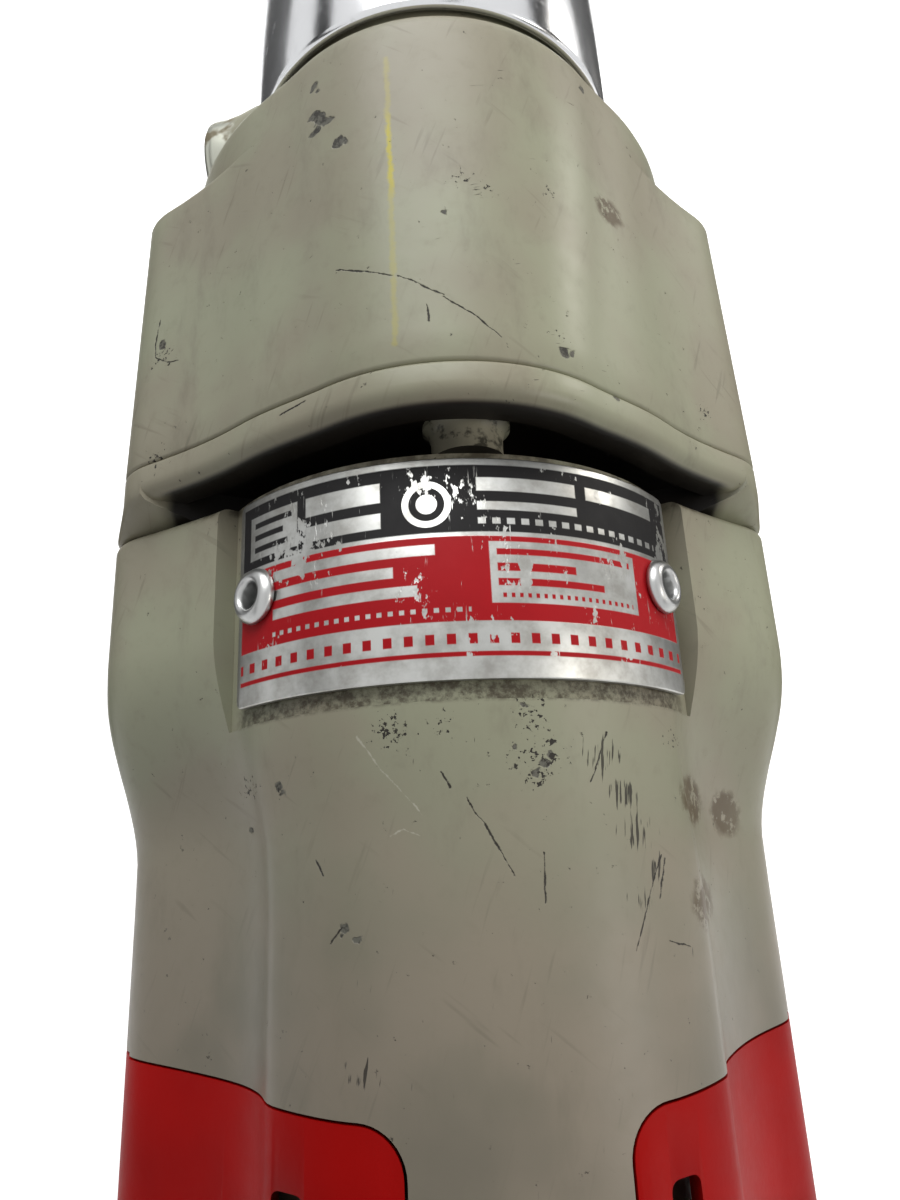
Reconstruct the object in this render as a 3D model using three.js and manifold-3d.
// Right angle drill with a rear D handle, a clamped right angle head and a keyed chuck.
// The object's own frame: +X to the right, +Y towards the head, +Z up, millimetres.
// Most pieces are drawn in the motor's frame: y runs along the motor axis and is zero at the
// front lip of the motor housing. The last lines lower that frame onto the ground.
import * as THREE from 'three';
import { mergeVertices } from 'three/addons/utils/BufferGeometryUtils.js';
import Module from 'manifold-3d';

const wasm = await Module();
wasm.setup();

// Gaps and finishes shared by every piece
const gap = 0.3;
const seam = 0.15;
const overrun = 1;
const wall = 3;
const degree = Math.PI / 180;
const fine = 24;
const coarse = 14;
const small = 8;
const mix = (from, to, share) => from + (to - from) * share;

// Places along the motor axis, measured from the motor housing's front lip
const caseSeamAt = 6.9;
const ventRimAt = 4.9;
const drumEndAt = 49;
const sleeveAt = 55.9;
const sleeveLength = 38;
const noseLength = 19;
const handleAt = -62.4;

// The two axes: the drill spindle lies above the motor
const spindleRise = 14.8;
const noseDepth = 110;

// Gear train: teeth, modules and widths of the three spur stages, one behind the other
const train = { from: 9, space: 1.5, behind: 2 };
const stages = [
  { driver: 7, driven: 27, module: 1, width: 6 },
  { driver: 8, driven: 22, module: 1.25, width: 7 },
  { driver: 9, driven: 27, module: 1.25, width: 10 },
];
let nextWheel = train.from;
for (const stage of stages) {
  stage.from = nextWheel;
  nextWheel += stage.width + train.space;
}
const trainEnd = nextWheel - train.space + train.behind;

// Motor housing
const housing = {
  crown: 33.1, crownRear: 31, side: 46, sideRear: 40,
  lobe: 7, lobeHeight: 3.5, lobeRear: 8.5, lobeRearTop: -4.5, lobeRearLow: -10,
  valleyX: 27.5, valleyZ: 18.3, valleyRearX: 25, valleyRearZ: 12,
  bulgeLength: 16, taperEnd: 40, taperShares: [[0.35, 0.22], [0.75, 0.8]],
  fanChamber: 30, fanChamberDepth: 13, fieldBore: 27.3, fieldBoreEnd: 60,
  tailRadius: 25.2, tailBore: 22, tailEnd: 100, tailFlange: 26.2, flangeLength: 4, tailFloor: 8,
  tongue: 10.4, tongueCorner: 4.5, tongueSag: 2.6, boundaryX: 15,
};

// Nameplate and its recess in the crown
const plateThick = 0.85;
const recessDepth = 1.6;
const recessFloor = housing.crown - recessDepth;
const recessHalf = 28;
const plateWidthShare = 0.897;
const plate = {
  radius: recessFloor + gap + plateThick, thick: plateThick, front: 1.1, rear: 25.6,
  halfAngle: plateWidthShare * Math.asin(recessHalf / housing.crown),
  recessFloor, recessHalf, recessRear: 27.5, bends: 10,
};
const rivet = { head: 3.25, headHeight: 1.3, rim: 2.1, eye: 1.2, shank: 1.6, length: 4, inset: 3.9 };

// Gear case and diaphragm
const nose = 23.4;
const gearCase = {
  hump: 24.4, humpFront: 25.4, drum: 36.5, drumFront: 34,
  earX: 36.3, earZ: 8.5, earRound: 9.2, earFrontX: 35.3, earEnd: 47, earSoft: 3.2, endShares: [0.3, 0.2],
  neckX: 24, neckZ: 12, neckRound: 9,
  nose, coneFoot: nose + gap, cavity: 33.4, humpCavity: 21.6, cavityEnd: trainEnd,
  socketAngle: 208, socketY: 50.5, socketRadius: 7.5, socketReach: 35.5, socketBore: 4.6, socketDepth: 14,
};
const diaphragm = {
  ventStart: 22, ventEnd: 158, ventInner: 17, bossRear: 2, bossRadius: 16,
  rimTop: 20.2, pillarX: 0.9, pillar: 4, pillarHeight: 29, spindleBoss: 9.4, spindleBossEnd: 15.4,
  web: 1.5, pinionHole: 5.2,
};
const screw = { x: 38.5, z: 5.8, radius: 2.25, head: 3.9, headHeight: 3.2, tip: 19, socket: 1.8,
  socketDepth: 2 };

const secondShaftX = 17.5;
const fewTeeth = 12;
const tooth = { addendumShare: 0.82, dedendumShare: 1.12, pressure: 25 * degree, backlash: 0.38 };
const idler = { radius: 3.5, rear: 2, journal: 4.2, bushOuter: 6, bushLength: 6.4, bush: 3.8 };

// Ball bearings and bushes: bore and outer radius, width
const bearingArmature = { bore: 4.2, outer: 11, width: 7 };
const bearingSpindle = { bore: 7.5, outer: 16, width: 9 };
const bearingPinion = { bore: 6.3, outer: 14, width: 9 };
const bearingUpper = { bore: 6.3, outer: 13, width: 8 };
const bearingLower = { bore: 8, outer: 16, width: 10 };

// Motor
const motor = {
  shaft: 3.9, shaftCore: 4.6, core: 16, airGap: 0.4, coreFrom: -58, coreTo: -14, slots: 12, slotWidth: 2.2,
  slotDepth: 1.6, endTurn: 5, endTurnRadius: 14, fieldFrom: -56, fieldTo: -16, yoke: 23.8, field: 27,
  shoe: 18.4, poleHalf: 40, shoeHalf: 62, coilHalf: 80, coilInner: 19, coilOuter: 23.2, coilTurn: 4.5,
    coilGap: 0.6,
  commutator: 11.5, commutatorFrom: -85, commutatorTo: -66, bars: 14, barSlit: 0.7, barDepth: 0.7,
  fanFrom: -10, fanDisc: 1.6, fanTo: -3.2, fanRadius: 28, fanHub: 7, blades: 9, blade: 1.4, bladeFrom: 12,
};
const brush = { y: -75.5, width: 6.4, height: 9, length: 11, sheath: 1.2, sheathReach: 24.6, clear: 1.5 };

// Clamp sleeve over the two noses
const sleeveWall = 1.7;
const sleeve = {
  inner: nose + gap, outer: nose + gap + sleeveWall, bevel: 0.9, slit: 2.4, lugWidth: 7, lugReach: 32.5,
    lugLength: 30,
  screwRadius: 2.4, screwHead: 4, screwHeadHeight: 3.6, screwOffset: 29.2,
};

// Right angle head, drawn round the crossing point of its two axes
const head = {
  apexY: 145, neck: nose, collar: sleeve.outer, collarLength: 9, waist: 20.5, waistAt: -34, tower: 26,
  towerTop: 21, towerLow: -21, boss: 20.5, bossFrom: -28, bossEnd: -38, cap: 23, capTop: 31,
  capHole: 1.8, capHoleX: 16, capHoleDepth: 2.5, edge: 2, chamber: 20.6, chamberFloor: -17,
  pinionBore: 15, shaftBore: 9.4, spindleHole: 11, neckSeat: 8,
};
const bevel = { pinion: 12, gear: 18, module: 2.04, face: 7, backlash: 0.55, hub: 10, backing: 3.4,
  addendumShare: 0.7, dedendumShare: 1.3 };
const output = { shaft: 6, body: 7.6, collar: 10.5, thread: 7.7, threadLength: 15 };
const spindle = { radius: 6.2, seat: 7.2, stub: 5.5, stubFrom: 76, stubTo: 88.5, rear: 9.5 };
const couplingSpace = 2;
const couplingFit = 0.4;
const pinionShaft = {
  radius: 6, socket: 8.4, socketBore: spindle.stub + couplingFit, socketDepth: 12,
  rear: spindle.stubFrom + couplingSpace - head.apexY,
};

// Keyed chuck, drawn from its nose face upwards
const chuck = {
  length: 68, body: 20.3, tail: 16, tailFrom: 60, noseRadius: 13.2, shoulder: 19.6, shoulderAt: 14.5,
  bore: 6.7, boreDepth: 44, socketDepth: 17, keyHole: 3.1, keyHoleAt: 8.5, keyHoleFloor: 8.5,
  grooveFrom: 27, grooveTo: 36, groove: 17.2,
};
const ringWall = 3.7;
const ringLip = 0.8;
const ring = {
  outer: chuck.body + ringWall, from: 17, to: 50, teeth: 24, toothHeight: 3.4, notch: 2.6,
  rib: chuck.groove + ringLip, chamfer: 1.2,
};
const jaw = {
  radius: 4, length: 30, tilt: 15 * degree, reach: 12, closedGap: 0.4, axisAtNose: 4, recess: 5,
  maxBit: 6.5, sides: 12, wedge: 60 * degree,
};

// D handle. Its loop is drawn in shares of its length, from the front, and of its height, from the floor
const floor = spindleRise - noseDepth;
const handle = {
  front: -105, rear: -248, top: 27, half: 17.5, edge: 11, cupLength: 66.5, cupMiddle: -2,
  ribRadius: 25.9, ribFrom: -94.5, ribTo: -90, slotX: 19, slotWidth: 3.4, slotFrom: -72.4, slotTo: -96,
  sideSlots: 4, sideSlotPitch: 8, sideSlotAt: -70, sideSlotWidth: 3, sideSlotTop: 0, sideSlotLow: -14,
  armHalf: 8.5, gripHalf: 12, cornerSteps: 2,
};
const alongLoop = (share) => mix(handle.front, handle.rear, share);
const upLoop = (share) => mix(floor, handle.top, share);
const inLoop = ([along, up, round = 0]) => [alongLoop(along), upLoop(up), round * handle.edge];
// Shares of the cup's length behind the housing's edge, and of the housing's section
const cupShares = [[-0.12, 1], [0.565, 1], [0.737, 0.94], [0.887, 0.8], [1, 0.5]];
// Sections round the loop: inner point, outer point, each along and up
const loopShares = [
  [0.203, 0.714, 0, 0.714], [0.224, 0.812, 0.021, 0.976], [0.287, 0.845, 0.245, 1], [0.441, 0.836, 0.427,
    0.98],
  [0.58, 0.816, 0.608, 0.951], [0.643, 0.783, 0.804, 0.906], [0.671, 0.722, 0.902, 0.82],
  [0.685, 0.615, 0.951, 0.656], [0.696, 0.452, 0.976, 0.452], [0.706, 0.288, 0.99, 0.239],
  [0.703, 0.214, 1, 0.059], [0.685, 0.182, 0.972, 0], [0.65, 0.165, 0.769, 0], [0.601, 0.165, 0.608, 0],
  [0.552, 0.198, 0.511, 0.067], [0.385, 0.378, 0.315, 0.272], [0.259, 0.517, 0.119, 0.452],
  [0.21, 0.607, 0.021, 0.566],
];
// Hollows in the grip and in the upper arm, each corner along, up and rounded
const gripShares = [[0.724, 0.771, 0.18], [0.902, 0.746, 0.36], [0.944, 0.411, 1.82], [0.951, 0.124, 0.36],
  [0.776, 0.124, 0.36], [0.724, 0.272, 0.55]];
const armShares = [[0.049, 0.89, 0.18], [0.049, 0.955, 0.18], [0.315, 0.955, 1.82], [0.608, 0.906, 0.91],
  [0.776, 0.845, 0.18], [0.776, 0.746, 0.18], [0.724, 0.746, 0.09], [0.706, 0.812, 0.27], [0.58, 0.857,
    0.45],
  [0.189, 0.89, 0.36]];
const gripFront = alongLoop(gripShares[0][0]);
const handleScrew = { radius: 1.9, head: 3.4, headHeight: 2.4, boss: 4.6, reach: 13, sink: 3.2 };
const handleScrewShares = [[0.259, 0.922], [0.259, 0.423], [0.867, 0.092], [0.797, 0.816]];
const trigger = {
  face: alongLoop(0.612), back: alongLoop(0.741), top: upLoop(0.664), bottom: upLoop(0.386),
  half: 8.5, lip: 10.5, lipDepth: 2, clear: 0.5,
};
const lever = {
  middle: upLoop(0.724), thick: 4, half: 2.6, tip: alongLoop(0.626), pivotY: alongLoop(0.811),
    pivotRadius: 5,
  slotHalf: 7.6,
};
const lock = {
  y: alongLoop(0.818), z: upLoop(0.534), radius: 4.2, proud: 3.2, flange: 5.2, flangeThick: 0.8,
};
const switchBody = {
  front: alongLoop(0.783), rear: alongLoop(0.895), top: upLoop(0.705), bottom: upLoop(0.272), half: 7.6,
    edge: 2,
};
const cordInlet = { proud: 4, z: upLoop(0.157), radius: 8, bore: 4.6, depth: 16 };
const inletRear = handle.rear - cordInlet.proud;
const handleScrewPlaces = handleScrewShares.map(inLoop);

// Finishes
const finish = (color, roughness, metalness) => new THREE.MeshStandardMaterial({ color, roughness,
  metalness });
const paint = finish(0x8f9186, 0.45, 0.1);
const redPlastic = finish(0xb71a1f, 0.4, 0);
const chrome = finish(0xd9dbdd, 0.12, 1);
const steel = finish(0x9a9c9f, 0.35, 1);
const darkSteel = finish(0x4b4d50, 0.45, 1);
const plateMetal = finish(0xc9cccd, 0.35, 0.9);
const copper = finish(0xb06a3a, 0.4, 0.9);
const brass = finish(0xb5954a, 0.4, 0.9);
const black = finish(0x1c1c1e, 0.6, 0);
const carbon = finish(0x2a2a2b, 0.8, 0);
const headMetal = finish(0xb4b5b3, 0.4, 0.8);

// A closed geometry becomes a solid, with its faces turned outwards
function solidOf(geometry) {
  const bare = geometry.index ? geometry.toNonIndexed() : geometry.clone();
  bare.deleteAttribute('normal');
  bare.deleteAttribute('uv');
  const merged = mergeVertices(bare);
  const at = merged.attributes.position.array;
  const index = merged.index.array;
  const triangles = [];
  let volume = 0;
  const a = new THREE.Vector3();
  const b = new THREE.Vector3();
  const c = new THREE.Vector3();
  for (let i = 0; i < index.length; i += 3) {
    const [p, q, r] = [index[i], index[i + 1], index[i + 2]];
    if (p === q || q === r || r === p) continue;
    triangles.push(p, q, r);
    a.fromArray(at, 3 * p);
    b.fromArray(at, 3 * q);
    c.fromArray(at, 3 * r);
    volume += a.dot(b.cross(c));
  }
  if (volume < 0) triangles.reverse();
  const mesh = new wasm.Mesh({
    numProp: 3,
    vertProperties: new Float32Array(at),
    triVerts: new Uint32Array(triangles),
  });
  return new wasm.Manifold(mesh);
}

function geometryOf(solid) {
  const mesh = solid.getMesh();
  const geometry = new THREE.BufferGeometry();
  geometry.setAttribute('position', new THREE.BufferAttribute(mesh.vertProperties, mesh.numProp));
  geometry.setIndex(new THREE.BufferAttribute(mesh.triVerts, 1));
  return geometry;
}

const joined = (...solids) => solids.reduce((sum, next) => sum.add(next));

// A profile of [radius, place along the axis] turned about the y axis
function turned(profile, steps = coarse) {
  const points = profile.map(([radius, along]) => new THREE.Vector2(radius, along));
  return solidOf(new THREE.LatheGeometry(points, steps));
}

// The same, turned about the z axis
const turnedUp = (profile, steps = coarse) => turned(profile, steps).rotate([90, 0, 0]);

const rod = (radius, from, to, steps) => turned([[0, from], [radius, from], [radius, to], [0, to]], steps);
const rodUp = (radius, from, to, steps) => rod(radius, from, to, steps).rotate([90, 0, 0]);
const rodAcross = (radius, from, to, steps) => rod(radius, from, to, steps).rotate([0, 0, -90]);

function tube(inner, outer, from, to, steps) {
  return turned([[inner, from], [outer, from], [outer, to], [inner, to], [inner, from]], steps);
}

function block(x, y, z) {
  const geometry = new THREE.BoxGeometry(x[1] - x[0], y[1] - y[0], z[1] - z[0]);
  geometry.translate((x[0] + x[1]) / 2, (y[0] + y[1]) / 2, (z[0] + z[1]) / 2);
  return solidOf(geometry);
}

// An outline in x and z, pushed along y
function alongY(shape, from, to, steps = 6) {
  const geometry = new THREE.ExtrudeGeometry(shape, { depth: to - from, bevelEnabled: false,
    curveSegments: steps });
  geometry.rotateX(Math.PI / 2);
  geometry.translate(0, to, 0);
  return solidOf(geometry);
}

// An outline in x and y, pushed along z
function alongZ(shape, from, to, steps = 6) {
  const geometry = new THREE.ExtrudeGeometry(shape, { depth: to - from, bevelEnabled: false,
    curveSegments: steps });
  geometry.translate(0, 0, from);
  return solidOf(geometry);
}

// An outline in y and z, pushed along x
function alongX(shape, from, to, steps = 5) {
  const geometry = new THREE.ExtrudeGeometry(shape, { depth: to - from, bevelEnabled: false,
    curveSegments: steps });
  const turn = new THREE.Matrix4().makeBasis(
    new THREE.Vector3(0, 1, 0), new THREE.Vector3(0, 0, 1), new THREE.Vector3(1, 0, 0));
  geometry.applyMatrix4(turn);
  geometry.translate(from, 0, 0);
  return solidOf(geometry);
}

// A closed outline with each corner [u, v, radius] rounded off
function roundedOutline(corners) {
  const shape = new THREE.Shape();
  const count = corners.length;
  for (let i = 0; i < count; i += 1) {
    const [before, here, after] = [-1, 0, 1].map((step) => corners[(i + step + count) % count]);
    const corner = new THREE.Vector2(here[0], here[1]);
    const back = new THREE.Vector2(before[0], before[1]).sub(corner).normalize();
    const on = new THREE.Vector2(after[0], after[1]).sub(corner).normalize();
    const half = Math.acos(THREE.MathUtils.clamp(back.dot(on), -1, 1)) / 2;
    const reach = here[2] / Math.tan(half);
    const start = corner.clone().addScaledVector(back, reach);
    const end = corner.clone().addScaledVector(on, reach);
    if (i === 0) shape.moveTo(start.x, start.y);
    else shape.lineTo(start.x, start.y);
    shape.quadraticCurveTo(corner.x, corner.y, end.x, end.y);
  }
  shape.closePath();
  return shape;
}

// A band of a disc between two radii and two angles
function sector(inner, outer, from, to) {
  const shape = new THREE.Shape();
  shape.absarc(0, 0, outer, from * degree, to * degree, false);
  shape.absarc(0, 0, inner, to * degree, from * degree, true);
  shape.closePath();
  return shape;
}

// Points on an arc in x and z
function arcPoints(x, z, radius, from, to, steps) {
  const points = [];
  for (let i = 0; i <= steps; i += 1) {
    const angle = (from + (to - from) * i / steps) * degree;
    points.push([x + radius * Math.cos(angle), z + radius * Math.sin(angle)]);
  }
  return points;
}

// The right half of a section, mirrored into a whole ring at one place along y
function ringAt(y, half) {
  const left = half.slice(1, -1).reverse().map(([x, z]) => [-x, z]);
  return [...half, ...left].map(([x, z]) => new THREE.Vector3(x, y, z));
}

// Triangles that fill a ring, all running the same way round as the ring itself
function capOf(points) {
  const flat = points.map((p) => new THREE.Vector2(p.x, p.z));
  const way = Math.sign(THREE.ShapeUtils.area(flat));
  return THREE.ShapeUtils.triangulateShape(flat, []).map(([p, q, r]) => {
    const same = Math.sign(THREE.ShapeUtils.area([flat[p], flat[q], flat[r]])) === way;
    return same ? [p, q, r] : [p, r, q];
  });
}

// A skin over rings that all have the same number of points, closed at both ends
function loft(rings) {
  const count = rings[0].length;
  const corners = rings.flat();
  const index = [];
  for (let r = 0; r + 1 < rings.length; r += 1) {
    for (let i = 0; i < count; i += 1) {
      const [a, b] = [r * count + i, r * count + (i + 1) % count];
      index.push(a, a + count, b, b, a + count, b + count);
    }
  }
  const last = (rings.length - 1) * count;
  for (const [p, q, r] of capOf(rings[0])) index.push(p, q, r);
  for (const [p, q, r] of capOf(rings.at(-1))) index.push(last + p, last + r, last + q);
  const geometry = new THREE.BufferGeometry().setFromPoints(corners);
  geometry.setIndex(index);
  return solidOf(geometry);
}

// Motor housing section: a round crown and belly between two side lobes
function housingHalf(share, widen = 1) {
  const crown = mix(housing.crown, housing.crownRear, share);
  const lobe = mix(housing.lobe, housing.lobeRear, share);
  const side = mix(housing.side, housing.sideRear, share) * widen;
  const top = mix(housing.lobeHeight, housing.lobeRearTop, share);
  const low = mix(-housing.lobeHeight, housing.lobeRearLow, share);
  const valleyX = mix(housing.valleyX, housing.valleyRearX, share);
  const valleyZ = mix(housing.valleyZ, housing.valleyRearZ, share);
  const edge = Math.atan2(valleyZ, valleyX) / degree;
  return [
    ...arcPoints(0, 0, crown, 90, edge + 6, 5),
    [valleyX, valleyZ],
    ...arcPoints(side - lobe, top, lobe, 58, 0, 2),
    ...arcPoints(side - lobe, low, lobe, 0, -58, 2),
    ...arcPoints(0, 0, crown, -edge - 12, -90, 4),
  ];
}

function housingShell() {
  const bulge = -housing.bulgeLength;
  const taper = -housing.taperEnd;
  const between = housing.taperShares.map(([along, share]) => [mix(bulge, taper, along), share]);
  const stations = [[0, 0], [bulge, 0], ...between, [taper, 1],
    [handleAt - housing.tongueCorner - housing.tongueSag, 1]];
  return loft(stations.map(([y, share]) => ringAt(y, housingHalf(share))));
}

const landShare = 0.86;
const drumStep = 4;

// Gear case section: the spindle's hump on the drum, with an ear at each side
function caseHalf({ hump, drum, earX, earZ, earRound, drumShare = 1 }) {
  const meetZ = (drum * drum - hump * hump + spindleRise * spindleRise) / (2 * spindleRise);
  const meetX = Math.sqrt(Math.max(drum * drum - meetZ * meetZ, 0));
  const leave = Math.atan2(meetZ - spindleRise, meetX) / degree;
  const start = Math.atan2(meetZ, meetX) / degree;
  const land = Math.min(Math.acos(Math.min(earX * landShare / drum, 1)) / degree, start - drumStep);
  return [
    ...arcPoints(0, spindleRise, hump, 90, leave, 5),
    ...arcPoints(0, 0, drum, mix(start, land, 0.4), land, 1),
    ...arcPoints(earX, earZ, earRound, 72, 0, 2),
    ...arcPoints(earX, -earZ, earRound, 0, -72, 2),
    ...arcPoints(0, 0, drum * drumShare, -42, -90, 3),
  ];
}

const toCircle = (ring, y, radius, share = 1) => ring.map((p) => {
  const out = new THREE.Vector2(p.x, p.z - spindleRise).normalize().multiplyScalar(radius);
  return new THREE.Vector3(mix(p.x, out.x, share), y, mix(p.z, out.y + spindleRise, share));
});

// Where the two idler shafts stand, from the three centre distances
const distances = stages.map(({ driver, driven, module }) => module * (driver + driven) / 2);
const secondShaft = new THREE.Vector2(
  secondShaftX, spindleRise - Math.sqrt(distances[2] ** 2 - secondShaftX ** 2));
const firstShaft = (() => {
  const span = secondShaft.length();
  const along = (distances[0] ** 2 - distances[1] ** 2 + span ** 2) / (2 * span);
  const aside = Math.sqrt(distances[0] ** 2 - along ** 2);
  const way = secondShaft.clone().normalize();
  return new THREE.Vector2(way.x * along + way.y * aside, way.y * along - way.x * aside);
})();
const motorCentre = new THREE.Vector2(0, 0);
const spindleCentre = new THREE.Vector2(0, spindleRise);
const angleTo = (from, to) => Math.atan2(to.y - from.y, to.x - from.x);

// Involute spur outline with a tooth centred on the given angle
function gearOutline(teeth, module, angle, bore = 0) {
  const pitch = module * teeth / 2;
  const base = pitch * Math.cos(tooth.pressure);
  const tip = pitch + module * tooth.addendumShare;
  const root = pitch - module * tooth.dedendumShare;
  const involute = (radius) => {
    const ratio = Math.min(base / radius, 1);
    return Math.sqrt(1 / (ratio * ratio) - 1) - Math.acos(ratio);
  };
  const halfAtPitch = Math.PI / (2 * teeth) - tooth.backlash / (2 * pitch);
  const half = (radius) => halfAtPitch + involute(pitch) - involute(radius);
  const flank = teeth < fewTeeth ? [[root, Math.min(half(pitch - module / 2), halfAtPitch)], [pitch,
    half(pitch)], [tip, half(tip)]]
    : [[tip, half(tip)]];
  const valley = teeth < fewTeeth ? [] : [[root, -Math.PI / teeth]];
  const shape = new THREE.Shape();
  for (let i = 0; i < teeth; i += 1) {
    const centre = angle + 2 * Math.PI * i / teeth;
    const points = [...valley, ...flank.map(([r, w]) => [r, -w]), ...flank.toReversed()];
    points.forEach(([radius, turn], k) => {
      const [x, z] = [radius * Math.cos(centre + turn), radius * Math.sin(centre + turn)];
      if (i === 0 && k === 0) shape.moveTo(x, z);
      else shape.lineTo(x, z);
    });
  }
  shape.closePath();
  if (bore) shape.holes.push(new THREE.Path().absarc(0, 0, bore, 0, 2 * Math.PI));
  return shape;
}

// Straight bevel gear, its apex at the origin and its body up the z axis
function bevelGear(teeth, mate, bore, backing, hub) {
  const pitch = bevel.module * teeth / 2;
  const cone = Math.atan2(teeth, mate);
  const depth = pitch / Math.tan(cone);
  const shrink = 1 - bevel.face * Math.cos(cone) / depth;
  const halfAtPitch = Math.PI / (2 * teeth) - bevel.backlash / (2 * pitch);
  const slopeShare = Math.tan(tooth.pressure);
  const [low, high] = [-bevel.dedendumShare * bevel.module, bevel.addendumShare * bevel.module];
  const tipTurn = halfAtPitch - high * slopeShare / pitch;
  const outline = [];
  for (let i = 0; i < teeth; i += 1) {
    for (const [h, turn] of [[low, -Math.PI / teeth], [high, -tipTurn], [high, tipTurn]]) {
      const radius = pitch + h * Math.cos(cone);
      const angle = 2 * Math.PI * i / teeth + turn;
      outline.push(new THREE.Vector3(radius * Math.cos(angle), radius * Math.sin(angle),
        depth - h * Math.sin(cone)));
    }
  }
  const at = (radius, z) => outline.map((p) => {
    const flat = new THREE.Vector2(p.x, p.y).normalize().multiplyScalar(radius);
    return new THREE.Vector3(flat.x, flat.y, z);
  });
  const back = depth + bevel.module + backing;
  const rings = [at(bore, back), at(hub, back), outline, outline.map((p) => p.clone().multiplyScalar(shrink)),
    at(bore, depth * shrink)];
  return closedRings(rings);
}

// Rings joined one to the next, and the last to the first
function closedRings(rings) {
  const count = rings[0].length;
  const index = [];
  for (let r = 0; r < rings.length; r += 1) {
    const next = ((r + 1) % rings.length) * count;
    for (let i = 0; i < count; i += 1) {
      const [a, b] = [r * count + i, r * count + (i + 1) % count];
      const [c, d] = [next + i, next + (i + 1) % count];
      index.push(a, b, c, b, d, c);
    }
  }
  const geometry = new THREE.BufferGeometry().setFromPoints(rings.flat());
  geometry.setIndex(index);
  return solidOf(geometry);
}

// Ball bearing as one bought unit, its shield level with the races
const bearing = ({ bore, outer, width }, from) => tube(bore, outer, from, from + width, coarse);

// Group that holds everything, in the motor's frame
const drill = new THREE.Group();

function place(parent, name, solid, material) {
  const mesh = new THREE.Mesh(geometryOf(solid), material);
  mesh.name = name;
  parent.add(mesh);
  return mesh;
}

// Motor housing: crowned shell, fan chamber, field bore, tail for the handle and the tongue
function tonguePlan(reach, shrink) {
  const outer = housing.side + overrun;
  const edge = handleAt + shrink;
  const inner = edge - housing.tongueSag;
  const half = housing.tongue - shrink;
  const round = housing.tongueCorner + shrink;
  const end = -housing.tailEnd + shrink;
  const shape = new THREE.Shape();
  shape.moveTo(-outer, reach);
  shape.lineTo(-outer, edge);
  shape.quadraticCurveTo(-housing.boundaryX - round, inner, -half - round, inner);
  shape.absarc(-half - round, inner - round, round, Math.PI / 2, 0, true);
  shape.lineTo(-half, end + round);
  shape.absarc(-half + round, end + round, round, Math.PI, 1.5 * Math.PI, false);
  shape.absarc(half - round, end + round, round, 1.5 * Math.PI, 2 * Math.PI, false);
  shape.lineTo(half, inner - round);
  shape.absarc(half + round, inner - round, round, Math.PI, Math.PI / 2, true);
  shape.quadraticCurveTo(housing.boundaryX + round, inner, outer, edge);
  shape.lineTo(outer, reach);
  shape.closePath();
  return shape;
}

const tall = housing.side;

function motorHousing() {
  const end = -housing.tailEnd;
  const skin = loft([[0, 0], [end, 0]].map(([y]) => ringAt(y, housingHalf(1))));
  const top = alongZ(tonguePlan(overrun, 0), 0, tall, 4);
  const below = block([-tall - overrun, tall + overrun], [handleAt, overrun], [-tall, 0]);
  const body = housingShell().intersect(joined(top, below));
  const tongue = skin.intersect(top).intersect(block([-tall, tall], [end, handleAt + overrun], [0, tall]));
  const tail = turned([[0, end], [housing.tailFlange, end], [housing.tailFlange, end + housing.flangeLength],
    [housing.tailRadius, end + housing.flangeLength], [housing.tailRadius, handleAt + overrun],
    [0, handleAt + overrun]], fine);
  const bearingSeat = bearingArmature.outer + gap;
  const bearingFloor = end + wall;
  const cavity = turned([[0, overrun], [housing.fanChamber, overrun], [housing.fanChamber,
    -housing.fanChamberDepth],
    [housing.fieldBore, -housing.fanChamberDepth], [housing.fieldBore, -housing.fieldBoreEnd],
    [housing.tailBore, -housing.fieldBoreEnd - wall], [housing.tailBore, end + housing.tailFloor + wall],
    [bearingSeat, end + housing.tailFloor + wall], [bearingSeat, bearingFloor], [0, bearingFloor]], coarse);
  const recess = alongY(sector(plate.recessFloor, housing.side, 90 - recessAngle, 90 + recessAngle),
    -plate.recessRear, overrun, plate.bends);
  let solid = joined(body, tongue, tail).subtract(cavity).subtract(recess);
  for (const side of [-1, 1]) {
    for (const level of [-1, 1]) {
      solid = solid.subtract(rod(screw.radius + gap, -screw.tip, overrun, small)
        .translate([side * screw.x, 0, level * screw.z]));
    }
    solid = solid.subtract(radialHole(side, rivet.shank + gap, plate.recessFloor - rivet.length - gap,
      tall));
    solid = solid.subtract(brushSlot(side));
  }
  return solid;
}

const recessAngle = Math.asin(plate.recessHalf / housing.crown) / degree;
const rivetAngle = plate.halfAngle - rivet.inset / plate.radius;
const plateMiddle = -(plate.front + plate.rear) / 2;

// Turns a solid drawn along +z out to the left or right rivet
const atRivet = (side, solid) => solid.rotate([0, side * rivetAngle / degree, 0]).translate([0,
  plateMiddle, 0]);
const radialHole = (side, radius, from, to) => atRivet(side, rodUp(radius, from, to, small));

function brushSlot(side) {
  const grow = brush.sheath + 2 * gap;
  const across = [housing.tailBore - wall, housing.tailFlange + overrun].map((x) => side * x).sort((a,
    b) => a - b);
  return block(across, [brush.y - brush.width / 2 - grow, brush.y + brush.width / 2 + grow],
    [-brush.height / 2 - grow, brush.height / 2 + grow]);
}

function nameplate() {
  const half = plate.halfAngle / degree;
  let solid = alongY(sector(plate.radius - plate.thick, plate.radius, 90 - half, 90 + half),
    -plate.rear, -plate.front, plate.bends);
  for (const side of [-1, 1]) {
    solid = solid.subtract(radialHole(side, rivet.shank + gap, plate.recessFloor, tall));
  }
  return solid;
}

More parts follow.
